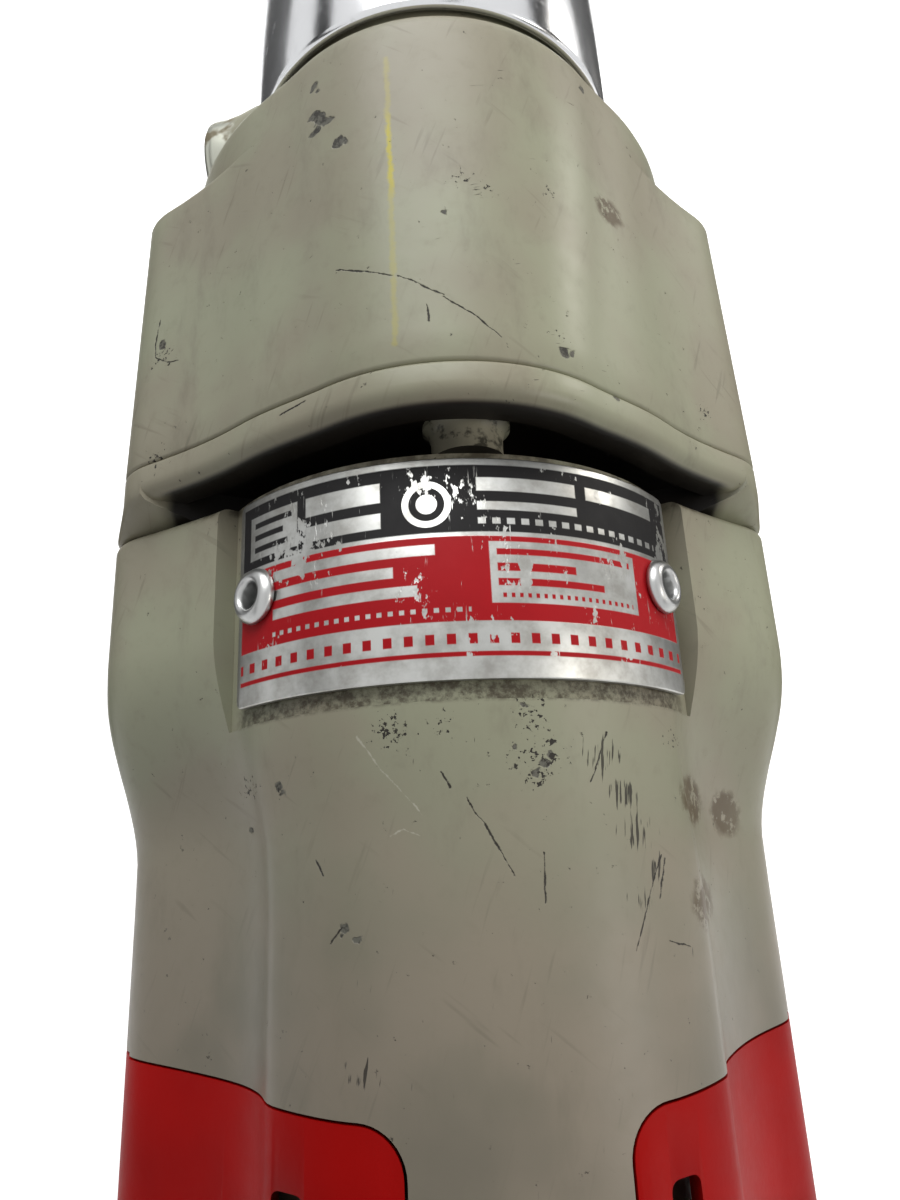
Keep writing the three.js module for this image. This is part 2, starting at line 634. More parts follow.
function rivetSolid(side) {
  const seat = plate.radius + gap;
  return atRivet(side, turnedUp([
    [0, seat - rivet.length], [rivet.shank, seat - rivet.length], [rivet.shank, seat], [rivet.head, seat],
    [rivet.head, seat + rivet.headHeight / 2], [rivet.rim, seat + rivet.headHeight],
    [rivet.eye, seat + rivet.headHeight], [rivet.eye, seat - rivet.headHeight], [0, seat - rivet.headHeight],
  ], small));
}

// Gear case: lofted drum with ears, cone to the nose, cavity and bearing seats
function gearCaseSolid() {
  const rear = { hump: gearCase.hump, drum: gearCase.drum, earX: gearCase.earX, earZ: gearCase.earZ,
    earRound: gearCase.earRound };
  const front = { ...rear, hump: gearCase.humpFront, drum: gearCase.drumFront, earX: gearCase.earFrontX };
  const bare = { ...front, earX: gearCase.neckX, earZ: gearCase.neckZ, earRound: gearCase.neckRound };
  const softened = { ...front, earX: front.earX - gearCase.earSoft / 3 };
  const last = ringAt(drumEndAt, caseHalf(bare));
  const rings = [
    ringAt(caseSeamAt, caseHalf(rear)),
    ringAt(gearCase.earEnd - gearCase.earSoft, caseHalf(front)),
    ringAt(gearCase.earEnd - gearCase.earSoft / 4, caseHalf(softened)),
    ringAt(gearCase.earEnd, caseHalf(bare)),
    last,
    toCircle(last, mix(drumEndAt, sleeveAt, gearCase.endShares[0]), gearCase.coneFoot,
      gearCase.endShares[1]),
    toCircle(last, sleeveAt - gap, gearCase.coneFoot),
  ];
  const nose = rod(gearCase.nose, drumEndAt, sleeveAt + noseLength, fine).translate([0, 0, spindleRise]);
  const socketWay = { tilt: gearCase.socketAngle, y: gearCase.socketY };
  const socket = sideSocket(rod(gearCase.socketRadius, spindleCase.inner, gearCase.socketReach, small),
    socketWay);
  const socketHole = sideSocket(rod(gearCase.socketBore, gearCase.socketReach - gearCase.socketDepth,
    gearCase.socketReach + overrun, small), socketWay);
  const cavity = joined(
    rod(gearCase.cavity, caseSeamAt - overrun, gearCase.cavityEnd, coarse),
    rod(gearCase.humpCavity, caseSeamAt - overrun, gearCase.cavityEnd, coarse).translate([0, 0,
      spindleRise]),
  );
  const seat = turned([
    [0, gearCase.cavityEnd - overrun], [spindleCase.hole, gearCase.cavityEnd - overrun],
    [spindleCase.hole, spindleCase.from], [bearingSpindle.outer + gap, spindleCase.from],
    [bearingSpindle.outer + gap, spindleCase.to], [spindleCase.mouth, spindleCase.to],
    [spindleCase.mouth, sleeveAt + noseLength + overrun], [0, sleeveAt + noseLength + overrun],
  ], coarse).translate([0, 0, spindleRise]);
  const besideSleeve = rod(sleeve.outer + gap, sleeveAt - gap, sleeveAt + noseLength, fine)
    .translate([0, 0, spindleRise]);
  let solid = joined(loft(rings), socket.subtract(besideSleeve), nose);
  solid = solid.subtract(cavity).subtract(seat).subtract(socketHole);
  for (const centre of [firstShaft, secondShaft]) {
    solid = solid.subtract(rod(idler.bushOuter + gap, gearCase.cavityEnd - overrun, bushEnd, small)
      .translate([centre.x, 0, centre.y]));
  }
  for (const [x, z] of screwPlaces) {
    const shank = rod(screw.radius + gap, caseSeamAt - overrun, gearCase.earEnd + overrun, small);
    const sink = rod(screw.head + gap, screwSeat, gearCase.earEnd + overrun, small);
    solid = solid.subtract(joined(shank, sink).translate([x, 0, z]));
  }
  return solid;
}

const bushEnd = gearCase.cavityEnd + idler.bushLength + gap;
const screwSeat = gearCase.earEnd - 2 * screw.headHeight;
const screwPlaces = [-1, 1].flatMap((side) => [-1, 1].map((level) => [side * screw.x, level * screw.z]));
const spindleCase = {
  inner: 20, hole: 9, from: sleeveAt - bearingSpindle.width - wall, to: sleeveAt + noseLength - 2 * wall,
    mouth: 18.5,
};

// Points a rod that was drawn along y out sideways from the spindle axis
function sideSocket(solid, { tilt, y }) {
  return solid.rotate([90, 0, 0]).rotate([0, 90 - tilt, 0]).translate([0, y, spindleRise]);
}

// Diaphragm between motor and gears, with the air outlet over the fan and a pillar across it
function diaphragmSolid() {
  const rear = { hump: diaphragm.rimTop, drum: housing.crown + overrun, earX: housing.side - housing.lobe,
    earZ: housing.lobeHeight, earRound: housing.lobe };
  const rim = { hump: gearCase.hump - overrun, drum: gearCase.drum - overrun, earX: gearCase.earX,
    earZ: gearCase.earZ - overrun, earRound: gearCase.earRound };
  const front = { hump: gearCase.hump, drum: gearCase.drum, earX: gearCase.earX, earZ: gearCase.earZ,
    earRound: gearCase.earRound };
  const skin = loft([ringAt(0, caseHalf(rear)), ringAt(ventRimAt, caseHalf(rim)),
    ringAt(caseSeamAt, caseHalf(front))]);
  const ways = [[diaphragm.ventStart, diaphragm.ventEnd], [-diaphragm.ventEnd, -diaphragm.ventStart]];
  const vents = ways.map(([from, to]) => alongY(
    sector(diaphragm.ventInner, tall, from, to), -overrun, ventRimAt, 7));
  const pillar = rod(diaphragm.pillar, 0, caseSeamAt - seam, small)
    .translate([diaphragm.pillarX, 0, diaphragm.pillarHeight]);
  const boss = rod(diaphragm.bossRadius, -diaphragm.bossRear, ventRimAt, fine);
  const spindleBoss = rod(diaphragm.spindleBoss, caseSeamAt - overrun, diaphragm.spindleBossEnd, coarse)
    .translate([0, 0, spindleRise]);
  const bearingHole = rod(bearingArmature.outer + gap, -diaphragm.bossRear - overrun,
    caseSeamAt - diaphragm.web, coarse);
  const pinionHole = rod(diaphragm.pinionHole, 0, caseSeamAt + overrun, coarse);
  const bushHole = rod(spindleBush.outer + gap, diaphragm.spindleBossEnd - spindleBush.length - gap,
    diaphragm.spindleBossEnd + overrun, coarse).translate([0, 0, spindleRise]);
  let solid = joined(skin.subtract(joined(...vents)), pillar, boss, spindleBoss);
  solid = solid.subtract(bearingHole).subtract(pinionHole).subtract(bushHole);
  for (const centre of [firstShaft, secondShaft]) {
    solid = solid.subtract(rod(idler.journal, idler.rear, caseSeamAt + overrun, small)
      .translate([centre.x, 0, centre.y]));
  }
  for (const [x, z] of screwPlaces) {
    solid = solid.subtract(rod(screw.radius + gap, -overrun, caseSeamAt + overrun, small).translate([x, 0,
      z]));
  }
  return solid;
}

const spindleBush = { outer: 7.4, length: 6, bore: spindle.radius + gap };

function caseScrew() {
  const top = screwSeat + gap;
  return turned([
    [0, -screw.tip + wall], [screw.radius, -screw.tip + wall], [screw.radius, top], [screw.head, top],
    [screw.head, top + screw.headHeight], [screw.socket, top + screw.headHeight],
    [screw.socket, top + screw.headHeight - screw.socketDepth], [0,
      top + screw.headHeight - screw.socketDepth],
  ], small);
}

// Armature: shaft with its pinion, slotted core with end turns, commutator and fan
function spurPinion(stage, angle) {
  return alongY(gearOutline(stage.driver, stage.module, angle), stage.from - gap,
    stage.from + stage.width + gap);
}

function armatureShaft() {
  const rear = -housing.tailEnd + wall + gap;
  const shoulder = [bearingRearAt + bearingArmature.width + gap, bearingFrontAt - gap];
  const shaft = turned([
    [0, rear], [motor.shaft, rear], [motor.shaft, shoulder[0]], [motor.shaftCore, shoulder[0]],
    [motor.shaftCore, shoulder[1]], [motor.shaft, shoulder[1]], [motor.shaft, stages[0].from - gap],
    [0, stages[0].from - gap],
  ]);
  return shaft.add(spurPinion(stages[0], angleTo(motorCentre, firstShaft)));
}

const bearingRearAt = -housing.tailEnd + wall + gap;
const bearingFrontAt = caseSeamAt - diaphragm.web - gap - bearingArmature.width;

function armatureCore() {
  const shape = new THREE.Shape();
  const step = 360 / motor.slots;
  const half = Math.asin(motor.slotWidth / 2 / motor.core) / degree;
  for (let i = 0; i < motor.slots; i += 1) {
    const points = [[motor.core - motor.slotDepth, i * step - half], [motor.core - motor.slotDepth,
      i * step + half],
      [motor.core, i * step + half], [motor.core, (i + 0.5) * step], [motor.core, (i + 1) * step - half]];
    points.forEach(([radius, turn], k) => {
      const [x, z] = [radius * Math.cos(turn * degree), radius * Math.sin(turn * degree)];
      if (i === 0 && k === 0) shape.moveTo(x, z);
      else shape.lineTo(x, z);
    });
  }
  shape.closePath();
  const stack = alongY(shape, motor.coreFrom, motor.coreTo);
  const windings = turned([
    [0, motor.coreFrom - motor.endTurn], [motor.endTurnRadius - motor.endTurn,
      motor.coreFrom - motor.endTurn],
    [motor.endTurnRadius, motor.coreFrom - motor.endTurn / 2], [motor.endTurnRadius,
      motor.coreTo + motor.endTurn / 2],
    [motor.endTurnRadius - motor.endTurn, motor.coreTo + motor.endTurn / 2 + gap], [0,
      motor.coreTo + motor.endTurn / 2 + gap],
  ]);
  return stack.add(windings).subtract(rod(motor.shaftCore + gap, -housing.tailEnd, 0));
}

function commutator() {
  const shape = new THREE.Shape();
  const step = 360 / motor.bars;
  const half = Math.asin(motor.barSlit / 2 / motor.commutator) / degree;
  for (let i = 0; i < motor.bars; i += 1) {
    const low = motor.commutator - motor.barDepth;
    const points = [[low, i * step - half], [low, i * step + half], [motor.commutator, i * step + half],
      [motor.commutator, (i + 1) * step - half]];
    points.forEach(([radius, turn], k) => {
      const [x, z] = [radius * Math.cos(turn * degree), radius * Math.sin(turn * degree)];
      if (i === 0 && k === 0) shape.moveTo(x, z);
      else shape.lineTo(x, z);
    });
  }
  shape.closePath();
  shape.holes.push(new THREE.Path().absarc(0, 0, motor.shaftCore + gap, 0, 2 * Math.PI));
  return alongY(shape, motor.commutatorFrom, motor.commutatorTo, coarse / 2);
}

function fan() {
  const disc = joined(rod(motor.fanRadius, motor.fanFrom, motor.fanFrom + motor.fanDisc, coarse),
    rod(motor.fanHub, motor.fanFrom, motor.fanTo));
  const blade = block([motor.bladeFrom, motor.fanRadius - gap], [motor.fanFrom + motor.fanDisc / 2,
    motor.fanTo],
    [-motor.blade / 2, motor.blade / 2]);
  let solid = disc;
  for (let i = 0; i < motor.blades; i += 1) solid = solid.add(blade.rotate([0, 360 * i / motor.blades, 0]));
  return solid.subtract(rod(motor.shaftCore + gap, motor.fanFrom - overrun, motor.fanTo + overrun));
}

// Field: a yoke with a pole at each side, and a saddle coil round each pole
function fieldCore() {
  const bore = motor.core + motor.airGap;
  const yoke = tube(motor.yoke, motor.field, motor.fieldFrom, motor.fieldTo, coarse);
  const half = motor.poleHalf;
  const pole = joined(
    alongY(sector(bore, motor.yoke + overrun, -half, half), motor.fieldFrom, motor.fieldTo, 2),
    alongY(sector(bore, motor.shoe, -motor.shoeHalf, motor.shoeHalf), motor.fieldFrom, motor.fieldTo, 4),
  );
  return joined(yoke, pole, pole.rotate([0, 180, 0]));
}

function fieldCoil(side) {
  const [from, to] = [motor.fieldFrom, motor.fieldTo];
  const band = alongY(sector(motor.coilInner, motor.coilOuter, -motor.coilHalf, motor.coilHalf),
    from - motor.coilTurn, to + motor.coilTurn, 6);
  const window = alongY(sector(motor.coilInner - overrun, motor.coilOuter + overrun, -motor.poleHalf - 2,
    motor.poleHalf + 2), from - motor.coilGap, to + motor.coilGap, 4);
  const coil = band.subtract(window);
  return side > 0 ? coil : coil.rotate([0, 180, 0]);
}

// Brush box with a closed end, and the carbon inside it
function brushHolder(side) {
  const half = [brush.width / 2 + gap, brush.height / 2 + gap];
  const start = motor.commutator + brush.clear;
  const across = (from, to) => (side > 0 ? [from, to] : [-to, -from]);
  const outer = block(across(start, brush.sheathReach), around(brush.y, half[0] + brush.sheath),
    around(0, half[1] + brush.sheath));
  return outer.subtract(block(across(start - overrun, brush.sheathReach - brush.sheath), around(brush.y,
    half[0]),
    around(0, half[1])));
}

function carbonBrush(side) {
  const start = motor.commutator + gap;
  const across = side > 0 ? [start, start + brush.length] : [-start - brush.length, -start];
  return block(across, around(brush.y, brush.width / 2), around(0, brush.height / 2));
}

const around = (middle, half) => [middle - half, middle + half];

// Idler pieces: a wheel on a shaft that carries the next pinion
function wheel(stage, angle, bore) {
  return alongY(gearOutline(stage.driven, stage.module, angle, bore), stage.from, stage.from + stage.width,
    coarse / 2);
}

function idlerShaft(stage, angle) {
  const shaft = rod(idler.radius, idler.rear + gap, gearCase.cavityEnd + idler.bushLength - gap, small);
  return shaft.add(spurPinion(stage, angle));
}

const gapAngle = (from, to, teeth) => angleTo(from, to) + Math.PI / teeth;

function drillSpindle() {
  const seatFrom = spindleCase.from - wall;
  return turned([
    [0, spindle.rear], [spindle.radius, spindle.rear], [spindle.radius, seatFrom], [spindle.seat, seatFrom],
    [spindle.seat, spindle.stubFrom], [spindle.stub, spindle.stubFrom], [spindle.stub, spindle.stubTo],
    [0, spindle.stubTo],
  ]);
}

// Split clamp sleeve, its lugs and screws under the spindle axis
function clampSleeve() {
  const end = sleeveLength;
  const body = turned([
    [sleeve.inner + sleeve.bevel, 0], [sleeve.outer - sleeve.bevel / 2, 0], [sleeve.outer, sleeve.bevel / 2],
    [sleeve.outer, end - sleeve.bevel / 2], [sleeve.outer - sleeve.bevel / 2, end], [sleeve.inner, end],
    [sleeve.inner, sleeve.bevel], [sleeve.inner + sleeve.bevel, 0],
  ], fine);
  const lugEnds = around(end / 2, sleeve.lugLength / 2);
  const corner = sleeve.lugWidth / 2;
  const lugShape = roundedOutline([[lugEnds[0], -sleeve.inner, gap], [lugEnds[0], -sleeve.lugReach, corner],
    [lugEnds[1], -sleeve.lugReach, corner], [lugEnds[1], -sleeve.inner, gap]]);
  const lugs = alongX(lugShape, -sleeve.lugWidth, sleeve.lugWidth, 2);
  const slit = block(around(0, sleeve.slit / 2), [-overrun, end + overrun], [-sleeve.lugReach - overrun,
    -sleeve.inner / 2]);
  let solid = body.add(lugs.subtract(rod(sleeve.inner, -overrun, end + overrun, fine))).subtract(slit);
  for (const y of sleeveScrewAt) {
    const hole = rodAcross(sleeve.screwRadius + gap, -tall, tall, small);
    const sink = rodAcross(sleeve.screwHead + gap, sleeve.lugWidth - sleeve.screwHeadHeight, tall, small);
    solid = solid.subtract(joined(hole, sink).translate([0, y, -sleeve.screwOffset]));
  }
  return solid;
}

const sleeveScrewAt = [1, 3].map((quarter) => quarter * sleeveLength / 4);

function clampScrew() {
  const seat = sleeve.lugWidth - sleeve.screwHeadHeight + gap;
  const top = seat + sleeve.screwHeadHeight;
  return turned([
    [0, -sleeve.lugWidth], [sleeve.screwRadius, -sleeve.lugWidth], [sleeve.screwRadius, seat],
    [sleeve.screwHead, seat], [sleeve.screwHead, top], [screw.socket, top], [screw.socket, seat + gap], [0,
      seat + gap],
  ], small).rotate([0, 0, -90]);
}

// Right angle head housing: neck and barrel along y, tower for the output up z
const neckEnd = sleeveAt + sleeveLength + gap - head.apexY;
const neckFrom = sleeveAt + noseLength + overrun - head.apexY;
const bevelCone = Math.atan2(bevel.gear, bevel.pinion);
const gearReach = bevel.module * bevel.pinion / 2;
const pinionReach = bevel.module * bevel.gear / 2;
const gearBack = gearReach + bevel.module + bevel.backing;
const pinionBack = -(pinionReach + bevel.module + bevel.backing);
const faceShare = bevel.face * Math.cos(bevelCone) / gearReach;
const pinionSeat = pinionBack - gap - bearingPinion.width;

function headHousing() {
  const barrel = turned([
    [0, neckFrom], [head.neck - gap, neckFrom], [head.neck, neckFrom + gap], [head.neck, neckEnd],
    [head.collar, neckEnd], [head.collar, neckEnd + head.collarLength], [head.waist, head.waistAt],
      [head.waist, 0], [0, 0],
  ], fine);
  const tower = turnedUp([
    [0, head.bossEnd], [head.boss - head.edge, head.bossEnd], [head.boss, head.bossEnd + head.edge],
    [head.boss, head.bossFrom], [head.tower, head.towerLow], [head.tower, head.towerTop - head.edge],
    [head.tower - head.edge, head.towerTop], [0, head.towerTop],
  ], fine);
  const upright = turnedUp([
    [0, head.bossEnd - overrun], [head.spindleHole, head.bossEnd - overrun], [head.spindleHole, lowerSeat],
    [bearingLower.outer + gap, lowerSeat], [bearingLower.outer + gap, head.chamberFloor],
    [head.chamber, head.chamberFloor], [head.chamber, head.towerTop + overrun], [0, head.towerTop + overrun],
  ], coarse);
  const along = turned([
    [0, neckFrom - overrun], [pinionBush.outer + gap, neckFrom - overrun], [pinionBush.outer + gap,
      neckFrom + head.neckSeat],
    [head.shaftBore, neckFrom + head.neckSeat], [head.shaftBore, pinionSeat - gap],
    [bearingPinion.outer + gap, pinionSeat - gap], [bearingPinion.outer + gap, pinionBack],
    [head.pinionBore, pinionBack], [head.pinionBore, 0], [0, 0],
  ], coarse);
  return joined(barrel, tower).subtract(upright).subtract(along);
}

const pinionBush = { bore: pinionShaft.socket + gap, outer: head.shaftBore + 2 };
const lowerSeat = head.chamberFloor - bearingLower.width - 2 * gap;
const upperSeat = gearBack + gap;

function headCap() {
  const pocket = upperSeat + bearingUpper.width + gap;
  const spigot = head.chamber - gap;
  const rim = turnedUp([
    [0, head.towerTop + gap], [head.cap, head.towerTop + gap], [head.cap, head.capTop - head.edge],
    [head.cap - head.edge, head.capTop], [0, head.capTop],
  ], fine);
  let solid = rim.add(rodUp(spigot, upperSeat, head.towerTop + overrun, coarse))
    .subtract(rodUp(bearingUpper.outer + gap, upperSeat - overrun, pocket, coarse));
  for (const side of [-1, 1]) {
    solid = solid.subtract(rodUp(head.capHole, head.capTop - head.capHoleDepth, head.capTop + overrun, small)
      .translate([side * head.capHoleX, 0, 0]));
  }
  return solid;
}

// Bevel pinion on its shaft, whose rear socket takes the drill spindle's end
function bevelPinion() {
  const half = 90;
  const teeth = bevelGear(bevel.pinion, bevel.gear, pinionShaft.radius - overrun, bevel.backing, bevel.hub)
    .rotate([0, 0, half]).rotate([half, 0, 0]);
  const shaft = turned([
    [0, pinionShaft.rear + pinionShaft.socketDepth], [pinionShaft.socketBore,
      pinionShaft.rear + pinionShaft.socketDepth],
    [pinionShaft.socketBore, pinionShaft.rear], [pinionShaft.socket, pinionShaft.rear],
    [pinionShaft.socket, pinionShaft.rear + pinionShaft.socketDepth + wall],
    [pinionShaft.radius, pinionShaft.rear + pinionShaft.socketDepth + wall],
    [pinionShaft.radius, -pinionReach * (1 - faceShare) - gap], [0, -pinionReach * (1 - faceShare) - gap],
  ]);
  return teeth.add(shaft);
}

function outputGear() {
  const turn = -90 + 180 / bevel.gear;
  return bevelGear(bevel.gear, bevel.pinion, output.shaft + gap, bevel.backing, bevel.hub).rotate([0, 0,
    turn]);
}

const chuckTop = chuck.length - noseDepth;

function outputSpindle() {
  const shoulder = gearReach * (1 - faceShare) - gap;
  return turnedUp([
    [0, upperSeat + bearingUpper.width], [output.shaft, upperSeat + bearingUpper.width], [output.shaft,
      shoulder],
    [output.body, shoulder], [output.body, lowerSeat], [output.collar, lowerSeat], [output.collar,
      chuckTop + gap],
    [output.thread, chuckTop + gap], [output.thread, chuckTop - output.threadLength],
    [0, chuckTop - output.threadLength],
  ]);
}

// Keyed chuck: body with slanted jaw bores, toothed sleeve with its nut, and three jaws
const jawTravel = { close: (jaw.reach + jaw.recess) / Math.cos(jaw.tilt) };

function jawRod(radius, from, to, sides) {
  return rodUp(radius, from / Math.cos(jaw.tilt), to / Math.cos(jaw.tilt), sides)
    .rotate([0, jaw.tilt / degree, 0]).translate([jaw.axisAtNose, 0, 0]);
}

function chuckBody() {
  const socket = output.thread + gap;
  let solid = turnedUp([
    [0, chuck.boreDepth], [chuck.bore, chuck.boreDepth], [chuck.bore, 0], [chuck.noseRadius, 0],
    [chuck.shoulder, chuck.shoulderAt], [chuck.body, chuck.shoulderAt + overrun], [chuck.body,
      chuck.grooveFrom],
    [chuck.groove, chuck.grooveFrom], [chuck.groove, chuck.grooveTo], [chuck.body, chuck.grooveTo],
    [chuck.body, chuck.tailFrom - overrun], [chuck.tail, chuck.tailFrom + overrun], [chuck.tail,
      chuck.length],
    [socket, chuck.length], [socket, chuck.length - chuck.socketDepth], [0,
      chuck.length - chuck.socketDepth],
  ], fine);
  const open = (jaw.maxBit - jaw.closedGap) / Math.tan(jaw.tilt) - jaw.reach;
  const top = open + jaw.length * Math.cos(jaw.tilt) + overrun;
  const bore = jawRod(jaw.radius + gap, -wall, top, jaw.sides);
  const keyHole = rodAcross(chuck.keyHole, chuck.keyHoleFloor, ring.outer, small).translate([0, 0,
    chuck.keyHoleAt]);
  for (let i = 0; i < 3; i += 1) {
    solid = solid.subtract(bore.rotate([0, 0, 120 * i])).subtract(keyHole.rotate([0, 0, 120 * i + 60]));
  }
  return solid;
}

function chuckSleeve() {
  const inner = chuck.body + gap;
  const rib = [chuck.grooveFrom + gap, chuck.grooveTo - gap];
  const body = turnedUp([
    [inner, ring.from], [ring.outer, ring.from],
    [ring.outer, ring.to - ring.chamfer], [ring.outer - ring.chamfer, ring.to], [inner, ring.to],
    [inner, rib[1]], [ring.rib, rib[1]], [ring.rib, rib[0]], [inner, rib[0]], [inner, ring.from],
  ], fine);
  const notch = new THREE.Shape([[-ring.notch, ring.from - overrun], [ring.notch, ring.from - overrun],
    [0, ring.from + ring.toothHeight]].map(([x, z]) => new THREE.Vector2(x, z)));
  const cut = alongY(notch, chuck.body, ring.outer + overrun);
  let solid = body;
  for (let i = 0; i < ring.teeth; i += 1) solid = solid.subtract(cut.rotate([0, 0, 360 * i / ring.teeth]));
  return solid;
}

function chuckJaw() {
  const deep = jaw.reach + overrun;
  const top = jaw.length * Math.cos(jaw.tilt) - jaw.reach;
  const whole = jawRod(jaw.radius, -deep - wall, top, jaw.sides);
  const reach = chuck.body;
  const wide = (reach - jaw.closedGap) * Math.tan(jaw.wedge);
  const wedge = new THREE.Shape([[jaw.closedGap, 0], [reach, -wide], [reach, wide]]
    .map(([x, y]) => new THREE.Vector2(x, y)));
  const shaped = whole.intersect(alongZ(wedge, -jaw.reach, top + jaw.radius));
  const back = jawTravel.close;
  return shaped.translate([back * Math.sin(jaw.tilt), 0, back * Math.cos(jaw.tilt)]);
}

// D handle: a cup over the motor's tail that runs into a closed loop, split into two halves
function insetRing(points, amount) {
  return points.map((p, i) => {
    const before = points[(i + points.length - 1) % points.length];
    const after = points[(i + 1) % points.length];
    const along = new THREE.Vector2(after.x - before.x, after.z - before.z).normalize();
    return new THREE.Vector3(p.x - along.y * -amount, p.y, p.z + along.x * -amount);
  });
}

function cupRings(inset) {
  return cupShares.map(([along, share], i) => {
    const y = handleAt - along * handle.cupLength + (i === cupShares.length - 1 ? inset : 0);
    const full = ringAt(y, housingHalf(1)).map((p) => new THREE.Vector3(
      p.x * share, y, mix(handle.cupMiddle, p.z, share)));
    return inset > 0 ? insetRing(full, inset) : full;
  });
}

// Rounded section between an inner and an outer point of the loop
function loopRing(shares) {
  const [innerY, innerZ] = inLoop(shares.slice(0, 2));
  const [outerY, outerZ] = inLoop(shares.slice(2));
  const depth = Math.hypot(outerY - innerY, outerZ - innerZ);
  const round = Math.min(handle.edge, depth / 2 - gap);
  const ring = [];
  const corners = [[handle.half, depth, 0], [handle.half, 0, -90], [-handle.half, 0, -180], [-handle.half,
    depth, -270]];
  for (const [x, t, turn] of corners) {
    const centre = [x - Math.sign(x) * round, t === 0 ? round : depth - round];
    for (let k = 0; k <= handle.cornerSteps; k += 1) {
      const angle = (turn + 90 - 90 * k / handle.cornerSteps) * degree;
      const reach = (centre[1] + round * Math.sin(angle)) / depth;
      ring.push(new THREE.Vector3(
        centre[0] + round * Math.cos(angle), mix(innerY, outerY, reach), mix(innerZ, outerZ, reach)));
    }
  }
  return ring;
}

function handleWhole() {
  const cup = loft(cupRings(0));
  const loop = closedRings(loopShares.map(loopRing));
  const front = joined(alongZ(tonguePlan(-handleAt, -gap), 0, tall, 3),
    block(around(0, tall + overrun), [handleAt - gap, 0], [-tall, 0]));
  const hollows = joined(
    loft(cupRings(wall).slice(0, -1)),
    rod(housing.tailRadius + gap, -housing.tailEnd, handleAt, fine),
    rod(housing.tailFlange + gap, -housing.tailEnd - gap, handle.ribFrom - gap, fine),
    alongX(roundedOutline(gripShares.map(inLoop)), -handle.gripHalf, handle.gripHalf, 1),
    alongX(roundedOutline(armShares.map(inLoop)), -handle.armHalf, handle.armHalf, 1),
  );
  const rib = tube(handle.ribRadius, housing.crown, handle.ribFrom, handle.ribTo, coarse);
  const inlet = rod(cordInlet.radius, inletRear, inletRear + cordInlet.depth, coarse)
    .translate([0, 0, cordInlet.z]);
  const inletBore = rod(cordInlet.bore, inletRear - overrun, inletRear + cordInlet.depth, coarse)
    .translate([0, 0, cordInlet.z]);
  const rounded = joined(cup, loop);
  const bosses = handleScrewPlaces.map(([y, z]) => rodAcross(handleScrew.boss, -handleScrew.reach - wall / 2,
    handleScrew.reach + wall / 2, small).translate([0, y, z]));
  let solid = rounded.subtract(hollows).add(rib.intersect(cup)).add(inlet);
  solid = joined(solid, ...bosses.map((boss) => boss.intersect(rounded)));
  return solid.subtract(front).subtract(inletBore).subtract(handleCuts());
}

function handleCuts() {
  const cuts = [];
  for (const [y, z] of handleScrewPlaces) {
    const seat = handle.half - handleScrew.sink;
    cuts.push(rodAcross(handleScrew.radius + gap, -handleScrew.reach - gap, tall, small).translate([0, y,
      z]));
    cuts.push(rodAcross(handleScrew.head + gap, seat, tall, small).translate([0, y, z]));
  }
  const slot = roundedOutline([[0, handle.slotFrom, handle.slotWidth / 3], [handle.slotWidth,
    handle.slotFrom,
    handle.slotWidth / 3], [handle.slotWidth, handle.slotTo, handle.slotWidth / 3], [0, handle.slotTo,
    handle.slotWidth / 3]]);
  const topSlot = alongZ(slot, 0, tall, 1);
  cuts.push(topSlot.translate([handle.slotX - handle.slotWidth / 2, 0, 0]));
  cuts.push(topSlot.translate([-handle.slotX - handle.slotWidth / 2, 0, 0]));
  for (let i = 0; i < handle.sideSlots; i += 1) {
    const y = handle.sideSlotAt - i * handle.sideSlotPitch;
    const high = [handle.sideSlotLow, handle.sideSlotTop];
    cuts.push(block([-tall, -housing.tailFlange - wall], around(y, handle.sideSlotWidth / 2), high));
    cuts.push(block([housing.tailFlange + wall, tall], around(y, handle.sideSlotWidth / 2), high));
  }
  const opening = [gripFront - overrun, trigger.face];
  cuts.push(block(around(0, trigger.half + trigger.clear), opening,
    [trigger.bottom - trigger.clear, trigger.top + trigger.clear]));
  cuts.push(block(around(0, lever.slotHalf), opening, around(lever.middle, lever.thick / 2 + gap)));
  cuts.push(rodAcross(lock.radius + gap, -tall, 0, coarse).translate([0, lock.y, lock.z]));
  return joined(...cuts);
}

function handleHalf(side) {
  const keep = side > 0 ? [seam, tall + overrun] : [-tall - overrun, -seam];
  return handleWhole().intersect(block(keep, [inletRear - overrun, 0], [floor - overrun, tall]));
}

function handleScrewSolid() {
  const seat = handle.half - handleScrew.sink + gap;
  const top = seat + handleScrew.headHeight;
  return turned([
    [0, -handleScrew.reach], [handleScrew.radius, -handleScrew.reach], [handleScrew.radius, seat],
    [handleScrew.head, seat], [handleScrew.head, top], [0, top],
  ], small).rotate([0, 0, -90]);
}

function triggerSolid() {
  const [low, high] = [trigger.bottom, trigger.top];
  const waist = (low + high) / 2;
  const face = roundedOutline([[trigger.back, high, gap], [trigger.face, high, wall], [trigger.face - wall,
    waist, tall],
    [trigger.face, low, wall], [trigger.back, low, gap]]);
  const body = alongX(face, -trigger.half, trigger.half);
  const lips = block(around(0, trigger.lip), [trigger.back, trigger.back + trigger.lipDepth], [low, high]);
  return body.add(lips);
}

function leverSolid() {
  const shape = new THREE.Shape();
  shape.moveTo(-lever.half, lever.pivotY);
  shape.lineTo(-lever.half, lever.tip - lever.half);
  shape.absarc(0, lever.tip - lever.half, lever.half, Math.PI, 0, true);
  shape.lineTo(lever.half, lever.pivotY);
  shape.closePath();
  const level = around(lever.middle, lever.thick / 2);
  return alongZ(shape, ...level, 4).add(rodUp(lever.pivotRadius, ...level, small).translate([0,
    lever.pivotY, 0]));
}

